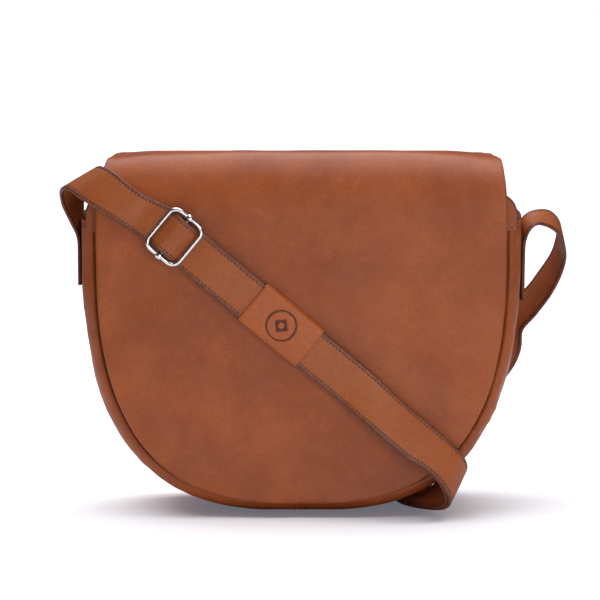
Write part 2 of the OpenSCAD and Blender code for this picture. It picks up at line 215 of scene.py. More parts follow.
def make_mesh(name, verts, faces, materials, indices=None, sharp=40):
    """One smooth-shaded mesh object from millimetre points, which keeps its rest place for the materials."""
    verts = np.asarray(verts, float)
    mesh = bpy.data.meshes.new(name)
    mesh.from_pydata((verts * MM).tolist(), [], [list(map(int, f)) for f in faces])
    for m in materials:
        mesh.materials.append(m)
    if indices is not None:
        mesh.polygons.foreach_set("material_index", np.asarray(indices, np.int32))
    rest = mesh.attributes.new("rest", "FLOAT_VECTOR", "POINT")
    rest.data.foreach_set("vector", verts.ravel().astype(np.float32))
    bm = bmesh.new()
    bm.from_mesh(mesh)
    bmesh.ops.recalc_face_normals(bm, faces=bm.faces)
    bm.to_mesh(mesh)
    bm.free()
    mesh.polygons.foreach_set("use_smooth", [True] * len(mesh.polygons))
    mesh.set_sharp_from_angle(angle=math.radians(sharp))
    obj = bpy.data.objects.new(name, mesh)
    bpy.context.scene.collection.objects.link(obj)
    return obj


def grid_normals(grid, towards):
    """Unit normals of a grid of points, on the side that faces a given way a third of the way down it."""
    normal = unit(np.cross(np.gradient(grid, axis=1), np.gradient(grid, axis=0)))
    rows, cols = grid.shape[:2]
    return normal * np.sign(normal[rows // 3, cols // 2] @ np.asarray(towards, float))


def upright(flat, y):
    """A 3D grid from one of x, z points and the y of each."""
    return np.stack([flat[..., 0], np.broadcast_to(y, flat.shape[:-1]), flat[..., 1]], -1)


def loop_of(rows, cols):
    """Indices of a grid's border, once round."""
    ids = np.arange(rows * cols).reshape(rows, cols)
    return np.concatenate([ids[0, :-1], ids[:-1, -1], ids[-1, :0:-1], ids[:0:-1, 0]])


def ring_ids(count, size):
    """Indices of rings of points, each with its first repeated at the end."""
    ids = np.arange(count * size).reshape(count, size)
    return np.concatenate([ids, ids[:, :1]], 1)


def quads(ids):
    a, b, c, d = ids[:-1, :-1], ids[:-1, 1:], ids[1:, 1:], ids[1:, :-1]
    return np.stack([a, b, c, d], -1).reshape(-1, 4)


def shell(name, outer, normals, thickness, materials, steps=5):
    """Closed sheet with rounded edges, from the grid of its outside.

    The materials are the outside's, the edge's and the inside's; the last one serves for those left out.
    """
    rows, cols = outer.shape[:2]
    count = rows * cols
    flat = outer.reshape(-1, 3)
    n = normals.reshape(-1, 3)
    t = np.broadcast_to(np.asarray(thickness, float), (rows, cols)).reshape(-1, 1)
    ids = np.arange(count).reshape(rows, cols)
    loop = loop_of(rows, cols)
    near_row = np.clip(np.arange(rows), 1, rows - 2)
    near_col = np.clip(np.arange(cols), 1, cols - 2)
    inward = ids[near_row][:, near_col].ravel()
    away = unit(flat[loop] - flat[inward[loop]])
    along = unit(np.roll(flat[loop], -1, 0) - np.roll(flat[loop], 1, 0))
    side = np.cross(along, n[loop])
    side = unit(side * np.sign(np.sum(side * away, 1, keepdims=True)))
    centre = flat[loop] - n[loop] * t[loop] / 2
    verts = [flat, flat - n * t]
    for a in arc(90, -90, steps + 1)[1:-1]:
        verts.append(centre + t[loop] / 2 * (n[loop] * math.sin(a) + side * math.cos(a)))
    face = quads(ids)
    rings = [loop] + [2 * count + k * len(loop) + np.arange(len(loop)) for k in range(steps - 1)]
    rings.append(loop + count)
    strips = [np.stack([r, np.roll(r, -1), np.roll(s, -1), s], 1) for r, s in zip(rings, rings[1:])]
    faces = np.concatenate([face, face[:, ::-1] + count] + strips)
    index = np.concatenate([np.zeros(len(face)), np.full(len(face), 2), np.ones(sum(map(len, strips)))])
    index = np.minimum(index, len(materials) - 1)
    return make_mesh(name, np.concatenate(verts), faces, materials, index, 50)


def tube(name, path, radius, material, sides=16, closed=False):
    """Round wire along a path."""
    path = np.asarray(path, float)
    if closed:
        ahead = unit(np.roll(path, -1, 0) - np.roll(path, 1, 0))
    else:
        ahead = unit(np.gradient(path, axis=0))
    across = unit(np.cross(ahead[0], [0.31, 0.52, 0.79]))
    frames = []
    for d in ahead:
        across = unit(across - d * np.dot(across, d))
        frames.append((across, np.cross(d, across)))
    a = np.arange(sides) * 2 * math.pi / sides
    radii = np.broadcast_to(np.asarray(radius, float), len(path))
    rings = np.array([p + r * (np.cos(a)[:, None] * u + np.sin(a)[:, None] * v)
                      for p, r, (u, v) in zip(path, radii, frames)])
    ids = ring_ids(len(path), sides)
    if closed:
        faces = list(quads(np.concatenate([ids, ids[:1]], 0)))
    else:
        faces = list(quads(ids)) + [ids[0, -2::-1], ids[-1, :-1]]
    return make_mesh(name, rings.reshape(-1, 3), faces, [material])


# ---------- stitches ----------

STITCH_PITCH = 2.9
STITCH_L = 2.25
STITCH_R = 0.46
STITCH_SLANT = 0.10
STITCH_SINK = 0.12           # how deep its middle lies in the leather
STITCH_SIDES = 6
STITCH_RINGS = [(-0.42, 0.62), (-0.2, 0.95), (0.2, 0.95), (0.42, 0.62)]     # shares of its length and radius


def stitch_shape():
    """Points (along, up, across) and faces of one stitch, pointed at both ends."""
    turns = np.arange(STITCH_SIDES) * 2 * math.pi / STITCH_SIDES
    points = [(-STITCH_L / 2, 0, 0)]
    for x, r in STITCH_RINGS:
        points += [(x * STITCH_L, STITCH_R * r * math.cos(b), STITCH_R * r * math.sin(b)) for b in turns]
    points.append((STITCH_L / 2, 0, 0))
    last = len(points) - 1
    faces = []
    for k in range(STITCH_SIDES):
        m = (k + 1) % STITCH_SIDES
        faces.append((0, 1 + k, 1 + m))
        faces.append((last, last - STITCH_SIDES + m, last - STITCH_SIDES + k))
        for ring in range(1, last - STITCH_SIDES, STITCH_SIDES):
            faces.append((ring + k, ring + STITCH_SIDES + k, ring + STITCH_SIDES + m, ring + m))
    return np.array(points), faces


STITCH_POINTS, STITCH_FACES = stitch_shape()


def stitch_row(path, normals):
    """Points of each stitch in a row laid along a path on a surface."""
    length = lengths(path)
    count = max(1, int(length[-1] / STITCH_PITCH))
    at = (np.arange(count) + 0.5) * length[-1] / count
    ahead = unit(sample(unit(np.gradient(path, axis=0)), length, at))
    up = unit(sample(normals, length, at))
    up = unit(up - ahead * np.sum(up * ahead, 1, keepdims=True))
    across = np.cross(ahead, up)
    slant = unit(ahead + STITCH_SLANT * across)
    middle = sample(path, length, at) - up * STITCH_SINK
    return middle[:, None] + STITCH_POINTS @ np.stack([slant, up, across], 1)


def sew(name, rows, body=None):
    """One mesh of stitches from several (path, normals) rows."""
    stitches = np.concatenate([stitch_row(path, normals) for path, normals in rows])
    count, size = stitches.shape[:2]
    faces = [[i + k * size for i in face] for k in range(count) for face in STITCH_FACES]
    return register(make_mesh(name, stitches.reshape(-1, 3), faces, [THREAD], sharp=180), "thread", body)


def rows_on(grid, normal, *places):
    """Rows for sewing along a sheet, one for each index of its grid."""
    return [(grid[place], normal[place]) for place in places]


# ---------- materials ----------

class Graph:
    """Short ways to add nodes to a shader tree."""

    def __init__(self, tree):
        self.tree = tree

    def add(self, kind, inputs=None, **settings):
        node = self.tree.nodes.new(kind)
        for key, value in settings.items():
            setattr(node, key, value)
        for key, value in (inputs or {}).items():
            self.set(node.inputs[key], value)
        return node

    def set(self, socket, value):
        if isinstance(value, bpy.types.NodeSocket):
            self.tree.links.new(value, socket)
        else:
            socket.default_value = value

    def ramp(self, fac, low, high, start=0.0, end=1.0):
        """Maps start..end of a value to low..high."""
        node = self.add("ShaderNodeMapRange", {"Value": fac, "From Min": start, "From Max": end,
                                               "To Min": low, "To Max": high})
        return node.outputs["Result"]

    def blend(self, fac, a, b):
        return self.add("ShaderNodeMix", {0: fac, 6: a, 7: b}, data_type="RGBA").outputs[2]

    def maths(self, kind, a, b):
        return self.add("ShaderNodeMath", {0: a, 1: b}, operation=kind).outputs[0]

    def scaled(self, place, by):
        return self.add("ShaderNodeVectorMath", {0: place, 1: by}, operation="MULTIPLY").outputs[0]


class Surface(Graph):
    """A new material. Its textures follow the rest place, or object space on a CAD node."""

    def __init__(self, name, cad=False):
        self.material = bpy.data.materials.new(name)
        self.material.use_nodes = True
        super().__init__(self.material.node_tree)
        self.cad = cad
        self.place = None

    def rest(self):
        """Rest place in millimetres."""
        if self.place is None and self.cad:
            self.place = self.scaled(self.add("ShaderNodeTexCoord").outputs["Object"], (1 / MM,) * 3)
        elif self.place is None:
            self.place = self.add("ShaderNodeAttribute", attribute_name="rest").outputs["Vector"]
        return self.place

    def noise(self, size, detail=2.0, rough_=0.5, stretch=(1, 1, 1), distortion=0.0):
        place = self.scaled(self.rest(), stretch)
        node = self.add("ShaderNodeTexNoise", {"Vector": place, "Scale": 1 / size, "Detail": detail,
                                               "Roughness": rough_, "Distortion": distortion})
        return node.outputs["Fac"]

    def bump(self, height, strength, distance, below=None):
        """Bump of a height in millimetres on top of an earlier bump."""
        inputs = {"Height": height, "Strength": strength, "Distance": distance * MM}
        if below is not None:
            inputs["Normal"] = below
        return self.add("ShaderNodeBump", inputs).outputs["Normal"]

    def finish(self, **values):
        shader = self.tree.nodes["Principled BSDF"]
        for key, value in values.items():
            self.set(shader.inputs[key.replace("_", " ")], value)
        return self.material


def srgb(*levels):
    """Linear colour from 0-255 display values."""
    return tuple(((v / 255 + 0.055) / 1.055) ** 2.4 if v > 10 else v / 255 / 12.92 for v in levels) + (1.0,)


def leather(name, base, dark, light, gloss=0.4, grain=0.7, cloud=0.65):
    """Waxed leather: clouded colour, lighter and darker flecks, pores and fine creases."""
    m = Surface(name)
    base, dark, light = srgb(*base), srgb(*dark), srgb(*light)
    clouds = m.ramp(m.noise(52, 3, 0.55, distortion=0.4), 0, 1, 0.36, 0.72)
    colour = m.blend(m.maths("MULTIPLY", clouds, cloud), base, dark)
    colour = m.blend(m.ramp(m.noise(7, 3, 0.6), 0, 0.22, 0.5, 0.8), colour, light)
    colour = m.blend(m.ramp(m.noise(1.0, 3, 0.65), 0.0, 0.62, 0.56, 0.3), colour, dark)
    pores = m.add("ShaderNodeTexVoronoi", {"Vector": m.rest(), "Scale": 1 / 0.95}).outputs["Distance"]
    # darker dots at the pores: painted shade in their pits
    colour = m.blend(m.ramp(pores, 0.16, 0.0, 0.0, 0.28), colour, dark)
    creases = m.noise(2.2, 4, 0.62, distortion=1.2)
    normal = m.bump(pores, 0.55 * grain, 0.22)
    normal = m.bump(creases, 0.35 * grain, 0.5, normal)
    normal = m.bump(m.noise(14, 2, 0.5), 0.25 * grain, 1.2, normal)
    roughness = m.ramp(m.noise(1.6, 3, 0.6), gloss - 0.05, gloss + 0.10)
    return m.finish(Base_Color=colour, Roughness=roughness, Normal=normal, Specular_IOR_Level=0.3,
                    Coat_Weight=0.06, Coat_Roughness=0.3)


def paint_edge(name, base, dark):
    """Waxed cut edge of the leather, with a little unevenness."""
    m = Surface(name)
    colour = m.blend(m.ramp(m.noise(3.2, 3), 0.1, 0.9, 0.35, 0.65), srgb(*base), srgb(*dark))
    normal = m.bump(m.noise(0.8, 2), 0.3, 0.25)
    return m.finish(Base_Color=colour, Roughness=0.46, Normal=normal)


def thread_material():
    m = Surface("waxed_thread")
    colour = m.blend(m.noise(2.2, 2), srgb(26, 14, 11), srgb(44, 24, 18))
    normal = m.bump(m.noise(0.35, 1, 0.5, (1, 1, 2.5)), 0.5, 0.12)
    return m.finish(Base_Color=colour, Roughness=0.55, Normal=normal)


def cloth_material(name, base, dark, thread=0.55, cad=False):
    """Plain weave: two crossing rows of threads."""
    m = Surface(name, cad)
    base, dark = srgb(*base), srgb(*dark)
    waves = []
    for direction in ("X", "Z"):
        wave = m.add("ShaderNodeTexWave", {"Vector": m.rest(), "Scale": 0.5 / thread, "Distortion": 0.6,
                                           "Detail": 1.0}, bands_direction=direction)
        waves.append(wave.outputs["Fac"])
    threads = m.maths("MAXIMUM", *waves)
    colour = m.blend(m.ramp(threads, 0.5, 0.0), base, dark)
    colour = m.blend(m.ramp(m.noise(24, 3), 0, 0.3, 0.4, 0.7), colour, dark)
    normal = m.bump(threads, 0.4, 0.25)
    return m.finish(Base_Color=colour, Roughness=0.85, Normal=normal, Sheen_Weight=0.25)


def suede_material():
    """Napped flesh side of the flap's lining."""
    m = Surface("suede_lining")
    nap = m.noise(0.5, 4, 0.7)
    brushed = m.ramp(m.noise(18, 3, 0.6, distortion=1.5), 0, 0.55, 0.35, 0.7)
    colour = m.blend(brushed, srgb(186, 146, 106), srgb(150, 110, 78))
    colour = m.blend(m.ramp(nap, 0, 0.25), colour, srgb(118, 82, 56))
    normal = m.bump(nap, 0.5, 0.25)
    return m.finish(Base_Color=colour, Roughness=0.92, Normal=normal, Sheen_Weight=0.5, Sheen_Roughness=0.4)


def metal(name, colour, roughness, cad=False):
    """Plated metal with faint hairlines, and dulling where hands touch it."""
    m = Surface(name, cad)
    dulled = m.ramp(m.noise(3.5, 3, 0.6), roughness * 0.7, roughness * 1.6, 0.35, 0.7)
    tarnish = tuple(0.82 * c for c in colour)
    tint = m.blend(m.ramp(m.noise(5, 2), 0, 0.3), colour + (1.0,), tarnish + (1.0,))
    normal = m.bump(m.noise(0.3, 2, 0.7, (1, 1, 0.06)), 0.06, 0.05)
    return m.finish(Base_Color=tint, Metallic=1.0, Roughness=dulled, Normal=normal)


def board_material():
    m = Surface("stiffening_board")
    fibres = m.noise(1.2, 4, 0.7, (1, 1, 0.3))
    colour = m.blend(fibres, srgb(150, 140, 124), srgb(108, 98, 84))
    return m.finish(Base_Color=colour, Roughness=0.9, Normal=m.bump(fibres, 0.3, 0.3))


MAIN = leather("bag_leather", (162, 81, 34), (122, 52, 22), (190, 104, 50))
STRAP = leather("strap_leather", (162, 86, 42), (126, 61, 30), (188, 112, 64), 0.46, 0.32, 0.3)
SLEEVE = leather("keeper_leather", (170, 86, 36), (134, 63, 26), (192, 108, 52), 0.34, 0.22, 0.3)
BURNT = leather("burnt_leather", (88, 42, 27), (66, 30, 20), (104, 54, 36), 0.6, 0.5, 0.4)
EDGE = paint_edge("edge_paint", (122, 60, 34), (84, 42, 25))
THREAD = thread_material()
SUEDE = suede_material()
LINING = cloth_material("lining_cloth", (178, 140, 102), (128, 96, 68))
TAPE = cloth_material("zip_tape", (70, 50, 38), (40, 28, 22), 0.4, cad=True)
NICKEL = metal("polished_nickel", (0.66, 0.65, 0.64), 0.07)
# dark material for the painted shade in the groove of the adjuster's butt joint
JOINT_SHADE = paint_edge("joint_shadow", (46, 44, 44), (28, 26, 26))
NICKEL_CAD = metal("nickel_plate", (0.80, 0.79, 0.77), 0.2, cad=True)
BRASS = metal("brushed_brass", (0.60, 0.42, 0.20), 0.3, cad=True)
BOARD = board_material()
CUT_LEATHER = [MAIN, EDGE, MAIN]


def sheet(name, grid, towards, thickness, materials, slot, *nodes):
    """A shell that rides on the bag, with its outside facing a given way. Gives its grid's normals."""
    normal = grid_normals(grid, towards)
    register(shell(name, grid, normal, thickness, materials), slot, "bag", *nodes)
    return normal


# ---------- body ----------

BODY_HALF = HALF_W - SIDE_SLACK
FRONT_ROLL = 9.0             # rolled front edge of the body
BACK_ROLL = 7.0
FRONT_LAP = 30.0             # how far the gusset reaches under the front panel
BACK_LAP = 16.0
LEATHER_T = 1.8
HEM_T = 1.3                  # extra thickness of the gussets' turned hems
HEM_DIP = 3.0                # the hems dip this far towards the front
FACE_Y = HALF_D - 1.6        # the gussets' flat borders lie just under the panels
SIDE_BULGE = 2.4             # the gussets are widest at mid depth
VALLEY_INSET = 13.5          # the hollow between the rolled front edge and the front panel
VALLEY_W = 3.8
VALLEY_D = 6.5
SEAM_X = -1.0                # the gusset halves meet here, under the bag
FRONT_INSET = 22.0           # the panels' edges lie this far inside the body's outline
BACK_INSET = 9.0
SHOULDER = 16.0              # the panels' rounded top corners


def body_curve(inset, top=HEM_Z):
    """The body's outline from hem to hem, moved in by an inset, and its outward directions."""
    even = resample(u_curve(BODY_HALF, OUTLINE_H, OUTLINE_N, 0, top, FLAT_CUT), 700)
    out = outward(even)
    return even - out * inset, out


def gusset_profile(cols):
    """(inset from the side, y) across the gusset from front lap to back lap, evenly spaced."""
    a = arc(90, 0, 24)
    front = np.stack([FRONT_ROLL - FRONT_ROLL * np.cos(a), -FACE_Y + FRONT_ROLL - FRONT_ROLL * np.sin(a)], 1)
    a = arc(0, 90, 16)
    back = np.stack([BACK_ROLL - BACK_ROLL * np.cos(a), FACE_Y - BACK_ROLL + BACK_ROLL * np.sin(a)], 1)
    line = resample(np.concatenate([[[FRONT_LAP, -FACE_Y]], front, back, [[BACK_LAP, FACE_Y]]]), cols)
    inset, y = line.T
    bulge = SIDE_BULGE * np.clip(np.abs(y) / (FACE_Y - 10), 0, 1.2) ** 2
    valley = VALLEY_D * np.exp(-((inset - VALLEY_INSET) / VALLEY_W) ** 2) * step(-y, 0, FACE_Y - 8)
    return np.stack([inset + bulge, y + valley], 1)


def round_body(base, out, inset, y):
    """Grid round the body: stations of its outline, moved in by an inset, across the depths y."""
    return upright(base[:, None] - out[:, None] * inset[..., None], y)


def gusset_side(side, sign):
    """One half of the gusset: left is -1, right is 1. Gives its rows for sewing."""
    rows = 190
    base, _ = body_curve(0.0)
    base = resample(base[base[:, 0] * sign >= SEAM_X * sign], rows)
    out = outward(base)
    if sign > 0:
        base, out = base[::-1], out[::-1]
    inset, y = gusset_profile(66).T
    grid = round_body(base, out, inset[None], y)
    grid[..., 2] += step(grid[..., 2], HEM_Z - 34, HEM_Z - 2) * HEM_DIP * y / HALF_D
    height = grid[..., 2]
    anchored = (1 - step(np.abs(y), 14, 24)) * step(height, 120, 150)
    soft = step(height, 4, 30) * (1 - anchored)
    swell = (1.1 * rough(grid, 52, 3.1) + 0.45 * rough(grid, 17, 7.7) - 0.4) * soft
    if sign > 0:
        pleats = np.exp(-((height - 76) / 26) ** 2) * step(y, -18, -34)
        swell += 0.9 * pleats * rough(grid, (16, 30, 5.5), 2.2)
    grid = grid + grid_normals(grid, (sign, 0, 0)) * swell[..., None]
    grid[..., 2] = np.maximum(grid[..., 2], 0.02)
    from_hem = np.arange(rows)[:, None] * 1.75
    thick = LEATHER_T + HEM_T * (1 - step(from_hem, 8, 11))
    normal = sheet("gusset_" + side + "_leather", grid, (sign, 0, 0), thick, CUT_LEATHER, "leather",
                   "gusset_" + side)
    return rows_on(grid, normal, np.s_[3], np.s_[-3, 8:-8])


def panel_top_line(top, half):
    """Top edge with rounded shoulders, from left to right."""
    a = arc(0, 90, 14)
    right = np.stack([half - SHOULDER + SHOULDER * np.sin(a), HEM_Z + (top - HEM_Z) * np.cos(a)], 1)
    return np.concatenate([(right * [-1, 1])[::-1], right])


def body_panel(side, sign, inset, top):
    """Front (-1) or back (1) panel, lapped over the gusset's border. Gives its row for sewing."""
    curve, _ = body_curve(inset)
    flat = fill_u(curve, panel_top_line(top, curve[-1, 0]), 110, 96)
    level = upright(flat, 0.0)
    swell = 0.5 * rough(level, 70, 5.5 + sign) + 0.25 * rough(level, 22, 1.5)
    grid = upright(flat, sign * (HALF_D - 0.3 + swell))
    normal = sheet(side + "_panel_leather", grid, (0, sign, 0), LEATHER_T, CUT_LEATHER, "leather",
                   side + "_panel")
    border = rows_on(grid, normal, np.s_[4:-4, 3], np.s_[-4, 3:-3], np.s_[-5:3:-1, -4])
    return tuple(np.concatenate(part) for part in zip(*border))


body_rows = gusset_side("left", -1) + gusset_side("right", 1)
body_rows.append(body_panel("front", -1, FRONT_INSET, PANEL_TOP))
body_rows.append(body_panel("back", 1, BACK_INSET, BACK_TOP))
sew("body_stitches", body_rows, "bag")


# ---------- flap ----------

FLAP_EDGE = 1.7              # half the thickness of the turned edge
FLAP_T = 1.8
LINING_T = 0.7
LINING_INSET = 11.0
LINING_START = 34.0          # arc length where the lining starts, on top
CORNER_LEFT = 6.5            # how far the strap draws the flap's top corner in
CORNER_RIGHT = 2.5
CORNER_DROOP = 2.0
CROWN = 2.8                  # how far the top swells


def flap_section():
    """The flap's outside from the band's lower edge, over the top and down the front, as y, z points."""
    back = HALF_D + 2.2
    a = arc(0, 90, 12)
    bend = np.stack([back - EDGE_R + EDGE_R * np.cos(a), FLAP_TOP - EDGE_R + EDGE_R * np.sin(a)], 1)
    b = arc(0, 90, 60)
    roll = np.stack([ROLL_Y - ROLL_R * np.sin(b), ROLL_Z + ROLL_H * np.cos(b)], 1)
    return np.concatenate([[[back, BAND_LOW]], bend, roll, [[FLAP_FACE, -60]]])


SECTION = flap_section()
SECTION_S = lengths(SECTION)
RIDGE_S = SECTION_S[13]      # arc length where the roll starts, on top
FLAP_FRONT_S = SECTION_S[-2]


def flap_profile(s):
    """(y, z) and outward (ny, nz) at arc length s along the flap's section."""
    def at(q):
        return np.stack([np.interp(q, SECTION_S, SECTION[:, k]) for k in (0, 1)], -1)
    place = at(s)
    ahead = unit(at(s + 1.5) - at(np.maximum(s - 1.5, 0)))
    return place[..., 0], place[..., 1], ahead[..., 1], -ahead[..., 0]


def flap_flat(inset, cols, rows, start):
    """The flap's flat pattern as x and arc length, from start to its lower edge."""
    half = FLAP_HALF - inset
    curve = u_curve(half, FLAP_H - inset, FLAP_N, FLAP_LOW[2] + inset, ROLL_Z, 0)
    curve[:, 1] = FLAP_FRONT_S + ROLL_Z - curve[:, 1]
    top = np.array([[-half, start], [half, start]])
    return fill_u(np.concatenate([top[:1], curve, top[1:]]), top, cols, rows, share=0.40)


def strap_distance(x, z):
    """Distance from the front run's middle line, on the flap's front."""
    return np.abs((ADJUSTER[0] - x) * KEEPER_AXIS[2] + (z - ADJUSTER[2]) * KEEPER_AXIS[0])


def flap_shape(flat, depth):
    """3D points of the flap's sheet, depth below its outside."""
    x, s = flat[..., 0], flat[..., 1]
    y, z, ny, nz = flap_profile(s)
    normal = np.stack([np.zeros_like(x), ny, nz], -1)
    front = step(s, FLAP_FRONT_S - 18, FLAP_FRONT_S + 6)
    top = step(s, 26, 40) * (1 - front)
    pattern = np.stack([x, s, np.zeros_like(x)], -1)
    clear = step(strap_distance(x, z), 18, 44)
    swells = 2.0 * rough(pattern, 74, 4.4) + 0.75 * rough(pattern, (30, 22, 30), 9.2)
    wave = front * mix(-0.3, swells, clear)
    wave += top * (1.1 * rough(pattern, 60, 6.1) - 0.5)
    wave += CROWN * np.exp(-((s - RIDGE_S + 6) / 22) ** 2) * (1 - (x / FLAP_HALF) ** 2)
    crimp = step(x, 0, 60) * (1 - step(x, 120, 138)) * step(s, FLAP_FRONT_S - 26, FLAP_FRONT_S - 12)
    crimp = crimp * (1 - step(s, FLAP_FRONT_S + 6, FLAP_FRONT_S + 30))
    wave += 0.32 * crimp * rough(pattern, (26, 3.2, 10), 1.3)
    lift = front * step(x, 92, 140) * step(s, FLAP_FRONT_S + 60, FLAP_FRONT_S + 150)
    wave += 2.0 * lift * step(strap_distance(x, z), 30, 60)
    ridge = 1 - step(s, RIDGE_S, RIDGE_S + 48)
    x = x + ridge * (CORNER_LEFT * step(-x, 60, FLAP_HALF) - CORNER_RIGHT * step(x, 80, FLAP_HALF))
    z = z - CORNER_DROOP * ridge * step(np.abs(x), FLAP_HALF - 40, FLAP_HALF)
    return np.stack([x, y, z], -1) + normal * (wave - depth)[..., None]


def flap():
    """Leather with a turned edge that wraps over the rear edge, lining and stitches."""
    rows, cols = 196, 150
    outer = flap_shape(flap_flat(FLAP_EDGE, cols, rows, 1.5), 0.0)
    normal = grid_normals(outer, (0, -1, 1))
    from_side = np.minimum(np.arange(cols), np.arange(cols)[::-1])[None] * 1.9
    from_end = np.arange(rows)[::-1][:, None] * 1.75
    thick = FLAP_T + 1.2 * (1 - step(np.minimum(from_side, from_end), 5, 10))
    leather_piece = shell("flap_leather_outer", outer, normal, thick, [MAIN], steps=8)
    register(leather_piece, "leather", None, "flap_leather", "flap_band")

    under = flap_shape(flap_flat(LINING_INSET, 110, 130, LINING_START), FLAP_T + 0.15)
    under_normal = grid_normals(under, (0, -1, 1))
    lining_piece = shell("flap_suede_lining", under, under_normal, LINING_T, [SUEDE])
    register(lining_piece, "lining", None, "flap_lining")

    band_rows = rows_on(outer, normal, np.s_[2, 3:-3], np.s_[9, 3:-3])
    lining_rows = rows_on(under - under_normal * LINING_T, -under_normal,
                          np.s_[2:-3, 2], np.s_[-3, 2:-2], np.s_[2:-3, -3])
    stitches = sew("flap_stitches", band_rows + lining_rows)
    for piece in (leather_piece, lining_piece, stitches):
        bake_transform(piece)


flap()


# ---------- strap ----------

RUN = np.array(KEEPER_AXIS, float)
CROSS = np.array([-RUN[2], 0, RUN[0]])
OUTWARD = np.array([0.0, -1, 0])
RUN_START = np.array([ADJUSTER[0], FLAP_FACE, ADJUSTER[2]])
SURFACE_W = REST_GAP + STRAP_T / 2      # heights above the flap of a strap's middle: lying on it,
MID_W = (UPPER_W + UNDER_W) / 2         # between the two layers,
BAR_TOP = FRAME_W + WIRE_R + 1.25 + STRAP_T / 2     # over the adjuster's bars
BAR_UNDER = FRAME_W - WIRE_R - 0.15 - STRAP_T / 2   # and under them
SIDE_X = BODY_HALF + SURFACE_W
ANCHOR_Z = node_box("strap_left_loop")[0][2]
EDGE_ROUND = 0.95            # rounding of the strap's painted edges
LEFT_SWING = ((-136, -54, 239.6), (-119.3, -74.9, 225.5))   # where the left and return lengths start to
RETURN_SWING = ((107, -57, 37), (91.8, -81, 49.4))          # follow the lifted run, and follow it wholly


def front_point(u, v, w):
    """Points on the front run: u along the strap, v across it, w out from the flap."""
    u, v, w = (np.asarray(q, float)[..., None] for q in (u, v, w))
    return RUN_START + u * RUN + v * CROSS + w * OUTWARD


def spline(points, spacing=2.0):
    """Catmull-Rom curve through rows of numbers, whose first three are a place."""
    p = np.asarray(points, float)
    padded = np.concatenate([p[:1], p, p[-1:]])
    out = []
    for i in range(len(p) - 1):
        a, b, c, d = padded[i:i + 4]
        count = max(2, int(np.linalg.norm(c[:3] - b[:3]) / spacing))
        for t in np.arange(count) / count:
            out.append(0.5 * (2 * b + (c - a) * t + (2 * a - 5 * b + 4 * c - d) * t * t
                              + (3 * b - a - 3 * c + d) * t ** 3))
    out.append(p[-1])
    return np.array(out)


def strap_section():
    """Closed cross-section (v, w) from the left edge over the top, with stitch grooves and painted edges.

    Its second result marks the stretches that are painted edge.
    """
    half, th = STRAP_W / 2, STRAP_T / 2
    groove = half - STITCH_INSET
    top = [(-groove - 0.75, 0), (-groove - 0.35, -0.06), (-groove, -0.24), (-groove + 0.35, -0.06),
           (-groove + 0.75, 0.02)]
    inner = [(v, 0.05 + 0.16 * (1 - (v / groove) ** 2)) for v in np.linspace(-groove + 2.5, groove - 2.5, 9)]
    upper = [(v, th + w) for v, w in top + inner + [(-v, w) for v, w in top[::-1]]]
    turn = [(half - EDGE_ROUND + EDGE_ROUND * math.cos(a), th * math.sin(a)) for a in arc(78, 26, 3)]
    seam = [(half - 0.06, 0.14), (half - 0.26, 0.0), (half - 0.06, -0.14)]
    right = turn + seam + [(v, -w) for v, w in turn[::-1]]
    lower = [(v, -w) for v, w in upper[::-1]]
    left = [(-v, w) for v, w in right[::-1]]
    painted = [np.zeros(len(upper) - 1), np.ones(len(right) + 1)] * 2
    return np.array(upper + right + lower + left), np.concatenate(painted)


def strap_frames(route):
    """Middle points, across and out directions of a strap through (place, outward normal) stations."""
    line = spline([[*place, *normal] for place, normal in route])
    centre, normal = line[:, :3], unit(line[:, 3:])
    ahead = unit(np.gradient(centre, axis=0))
    across = unit(np.cross(ahead, normal))
    return centre, across, np.cross(across, ahead)


def edge_frames(pairs):
    """The same for a strap given by the places of its two edges, so that a fold can run aslant."""
    line = spline([[*a, *b] for a, b in pairs])
    centre = (line[:, :3] + line[:, 3:]) / 2
    across = (line[:, 3:] - line[:, :3]) / STRAP_W
    return centre, across, unit(np.cross(across, unit(np.gradient(centre, axis=0))))


def from_corner(corner, pairs):
    """Edge places that are given from a corner point."""
    return [(np.array(corner) + a, np.array(corner) + b) for a, b in pairs]


def strap_piece(name, frames, node, width=None):
    """Two-ply strap with painted edges; width gives its width at each station where it isn't full."""
    centre, across, out = frames
    section, painted = strap_section()
    count, size = len(centre), len(section)
    scale = np.ones(count) if width is None else width / STRAP_W
    rings = (centre[:, None] + across[:, None] * (section[None, :, :1] * scale[:, None, None])
             + out[:, None] * section[None, :, 1:])
    ids = ring_ids(count, size)
    faces = list(quads(ids)) + [ids[0, -2::-1], ids[-1, :-1]]
    index = np.concatenate([np.tile(painted, count - 1), [1, 1]])
    piece = make_mesh(name, rings.reshape(-1, 3), faces, [STRAP, EDGE], index, sharp=62)
    return register(piece, "strap_leather", None, node)


def strap_rows(frames, faces=(1, -1), width=STRAP_W):
    """Rows for sewing along both edges, on the outer (1) or inner (-1) face."""
    centre, across, out = frames
    reach = np.asarray(width / 2 - STITCH_INSET)[..., None]
    return [(centre + across * edge * reach + out * face * (STRAP_T / 2 - 0.1), out * face)
            for face in faces for edge in (-1, 1)]


def single_length(side, frames, node, swing=None):
    """A length of the strap and its stitches, hung on the bag, or left where it lies when a swing is given.
    """
    for piece in (strap_piece("strap_" + side + "_length", frames, node),
                  sew("strap_" + side + "_stitches", strap_rows(frames))):
        if swing is None:
            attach(piece, "bag")
        else:
            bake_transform(piece)


def weave(u):
    """Height of the upper layer's middle above the flap as it passes through the adjuster."""
    before = mix(SURFACE_W, BAR_UNDER, step(u, -32, -14))
    climb = mix(BAR_UNDER, BAR_TOP, step(u, -12.6, -3.2))
    fall = mix(BAR_TOP, BAR_UNDER, step(u, 3.2, 12.6))
    after = mix(BAR_UNDER, UPPER_W, step(u, 14, 34))
    return np.select([u < -13.2, u < 0, u < 13.2], [before, climb, fall], after)


